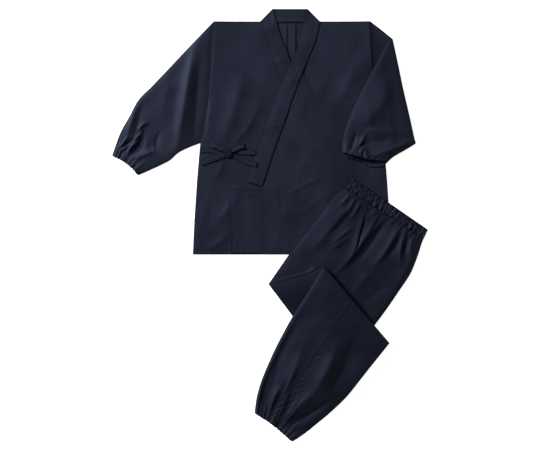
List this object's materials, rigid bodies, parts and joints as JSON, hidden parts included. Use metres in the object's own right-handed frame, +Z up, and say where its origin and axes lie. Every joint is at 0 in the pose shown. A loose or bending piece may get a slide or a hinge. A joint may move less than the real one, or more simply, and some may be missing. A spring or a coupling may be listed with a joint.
{
  "type": "samue",
  "caption": "Samue set laid out flat: a wrap-front cotton work jacket with a side tie, one sleeve turned in, and elastic-waist trousers folded in a Z over its lower corner.",
  "frame": {"origin": "middle of the set's outline, on the surface that it lies on", "axes": "+X to the viewer's right, which is the wearer's left; +Y from the jacket's hem to its collar; +Z up, away from the surface"},
  "size_m": [1.028, 1.412, 0.0353],
  "materials": {
    "jacket_cloth": "dark navy cotton plain weave with a soft sheen",
    "trouser_cloth": "dark navy cotton plain weave, a little darker"
  },
  "bodies": {
    "root": {"jacket_back": "jacket_cloth", "jacket_front_right": "jacket_cloth", "jacket_front_left": "jacket_cloth", "collar_right": "jacket_cloth", "collar_neck": "jacket_cloth", "collar_left": "jacket_cloth", "sleeve_right_back": "jacket_cloth", "sleeve_right_front": "jacket_cloth", "sleeve_left_root": "jacket_cloth", "sleeve_left_front": "jacket_cloth", "sleeve_left_back": "jacket_cloth", "pocket": "jacket_cloth", "tie_side": "jacket_cloth", "tie_front": "jacket_cloth", "tie_knot": "jacket_cloth", "tie_loop_outer": "jacket_cloth", "tie_loop_inner": "jacket_cloth", "tie_end_outer": "jacket_cloth", "tie_end_inner": "jacket_cloth", "trousers_waistband": "trouser_cloth", "trousers_front_upper": "trouser_cloth", "trousers_back_upper": "trouser_cloth", "trousers_front_lower": "trouser_cloth", "trousers_back_lower": "trouser_cloth", "trousers_layers_upper": "trouser_cloth", "trousers_layers_middle": "trouser_cloth", "trousers_layers_lower": "trouser_cloth"}
  },
  "joints": []
}
